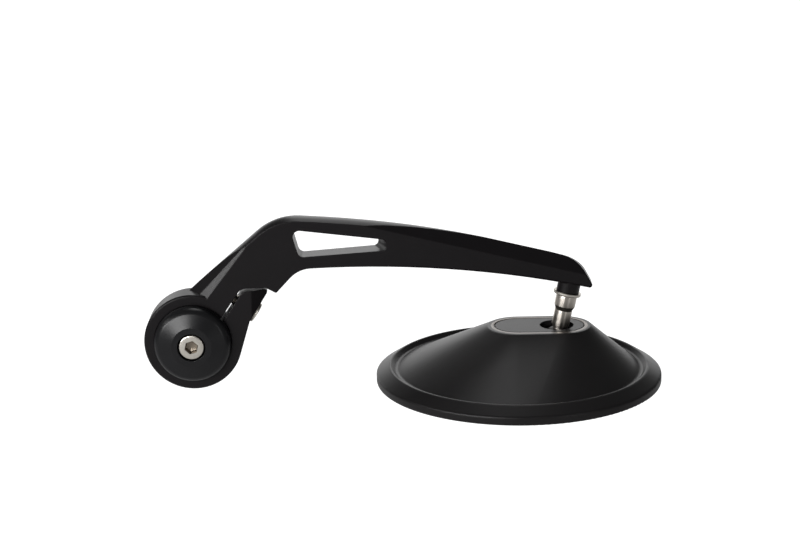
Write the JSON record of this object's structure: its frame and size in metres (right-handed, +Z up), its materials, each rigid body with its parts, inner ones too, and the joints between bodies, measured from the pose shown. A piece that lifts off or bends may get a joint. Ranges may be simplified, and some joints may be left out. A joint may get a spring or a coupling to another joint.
{
  "type": "motorcycle bar end mirror",
  "caption": "Round convex mirror on a ball stud, carried by a cranked arm with a slot through it that clamps round an expanding handlebar end plug.",
  "frame": {"origin": "on the handlebar's axis, in the plane of its end face, where the cap's rear shoulder seats", "axes": "+Y runs into the handlebar along its axis, +X along the arm towards the mirror, +Z up"},
  "size_m": [0.1757, 0.097, 0.0597],
  "materials": {
    "arm_coat": "satin black powder coat",
    "cap_anodised": "satin black anodised",
    "housing_coat": "matt black powder coat",
    "cover_plate": "satin",
    "stainless": "turned",
    "zinc_steel": "zinc plated",
    "bush_rubber": "matt",
    "acetal": "satin black",
    "foam": "matt",
    "mirror_glass": "polished"
  },
  "bodies": {
    "base": {"bar_end_cap": "cap_anodised", "bar_end_screw": "stainless", "expander_washer": "zinc_steel", "expander_bush": "bush_rubber", "expander_nut": "zinc_steel"},
    "arm": {"arm": "arm_coat", "pinch_bolt": "stainless"},
    "stud": {"ball_stud": "stainless", "stud_washer": "stainless"},
    "seat": {"upper_ball_seat": "acetal", "lower_ball_cup": "acetal", "pressure_spring": "zinc_steel"},
    "head": {"mirror_housing": "housing_coat", "socket_cover": "cover_plate", "pressure_plate": "zinc_steel", "retainer_screws": "zinc_steel", "glass_pad": "foam", "mirror_glass": "mirror_glass"}
  },
  "joints": [
    {"name": "arm_swing", "type": "hinge", "parent": "base", "child": "arm", "pos_m": [0, 0, 0], "axis": [0, 1, 0], "continuous": true},
    {"name": "stud_swivel", "type": "hinge", "parent": "arm", "child": "stud", "pos_m": [0.12334, -0.007, -0.00094], "axis": [0.1822, 0, 0.9833], "continuous": true},
    {"name": "mirror_tilt", "type": "hinge", "parent": "stud", "child": "seat", "pos_m": [0.12334, -0.007, -0.00094], "axis": [0, 1, 0], "range_deg": [-8.5, 31.5]},
    {"name": "mirror_spin", "type": "hinge", "parent": "seat", "child": "head", "pos_m": [0.12334, -0.007, -0.00094], "axis": [-0.0175, 0, 0.9998], "continuous": true}
  ]
}
